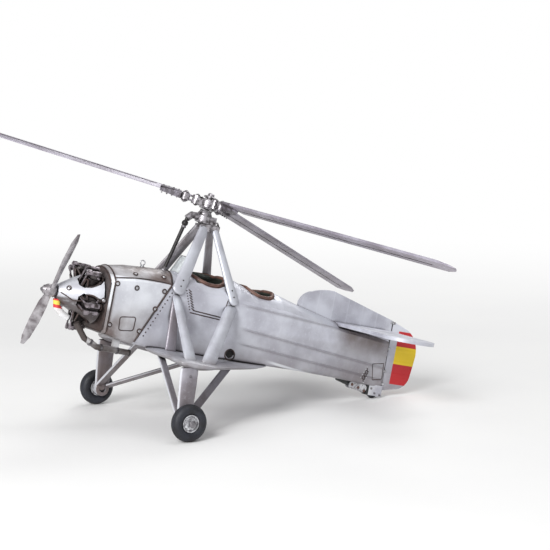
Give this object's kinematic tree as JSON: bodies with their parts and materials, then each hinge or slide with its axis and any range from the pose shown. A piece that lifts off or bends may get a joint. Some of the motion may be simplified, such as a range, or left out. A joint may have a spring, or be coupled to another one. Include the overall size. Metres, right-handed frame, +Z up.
{
  "type": "gyrocopter scale model",
  "caption": "Small painted metal scale model of an open-cockpit tandem gyrocopter with a radial engine, tractor propeller, free-turning rotor and wide fixed gear.",
  "frame": {"origin": "the point on the ground midway between the two main wheels", "axes": "+X toward the nose, +Y to port, +Z up, as the model stands on its wheels"},
  "size_m": [0.283, 0.2757, 0.1478],
  "materials": {
    "silver": "hand-painted silver dope over metal castings, satin",
    "rudder": "silver with red, yellow and red bands, satin",
    "tyre": "matt dark grey",
    "leather": "painted brown, satin",
    "glass": "clear sheet",
    "engine": "dark metal with a dry highlight",
    "propeller": "grey metal, dark at the back, satin",
    "fittings": "dark washed metal, satin"
  },
  "bodies": {
    "airframe": {"aft_strut_left": "silver", "aft_strut_right": "silver", "coaming_front": "leather", "coaming_rear": "leather", "cowl_main": "silver", "crankcase": "engine", "cylinder_1": "engine", "cylinder_2": "engine", "cylinder_3": "engine", "cylinder_4": "engine", "cylinder_5": "engine", "drive_shaft": "fittings", "exhaust": "engine", "fin": "silver", "fore_strut_left": "silver", "fore_strut_right": "silver", "fuselage": "silver", "intake_pipe": "silver", "nose_cowl": "silver", "oleo_left": "silver", "oleo_right": "silver", "outrigger_left": "silver", "outrigger_right": "silver", "panel_front": "fittings", "panel_rear": "fittings", "pylon_front_left": "silver", "pylon_front_right": "silver", "pylon_rear_left": "silver", "pylon_rear_right": "silver", "rotor_head": "fittings", "rudder": "rudder", "seat_front": "leather", "seat_rear": "leather", "tail_fork": "fittings", "tail_link": "silver", "tailplane_left": "silver", "tailplane_right": "silver", "windscreen": "glass"},
    "propeller": {"propeller": "propeller"},
    "rotor": {"blade_1": "silver", "blade_2": "silver", "blade_3": "silver", "rotor_hub": "fittings"},
    "wheel_left": {"tyre_left": "tyre", "hub_left": "silver"},
    "wheel_right": {"tyre_right": "tyre", "hub_right": "silver"},
    "tail_wheel": {"tail_wheel": "tyre"}
  },
  "joints": [
    {"name": "rotor_spin", "type": "hinge", "parent": "airframe", "child": "rotor", "pos_m": [-0.03298, 0, 0.09332], "axis": [-0.3562, 0, 0.9344], "continuous": true},
    {"name": "propeller_spin", "type": "hinge", "parent": "airframe", "child": "propeller", "pos_m": [0.04156, 0, 0.0602], "axis": [0.9772, 0, 0.2124], "continuous": true},
    {"name": "wheel_left_spin", "type": "hinge", "parent": "airframe", "child": "wheel_left", "pos_m": [0, 0.0464, 0.0079], "axis": [0, 1, 0], "continuous": true},
    {"name": "wheel_right_spin", "type": "hinge", "parent": "airframe", "child": "wheel_right", "pos_m": [0, -0.0464, 0.0079], "axis": [0, 1, 0], "continuous": true},
    {"name": "tail_wheel_spin", "type": "hinge", "parent": "airframe", "child": "tail_wheel", "pos_m": [-0.11697, 0, 0.0026], "axis": [0, 1, 0], "continuous": true}
  ]
}
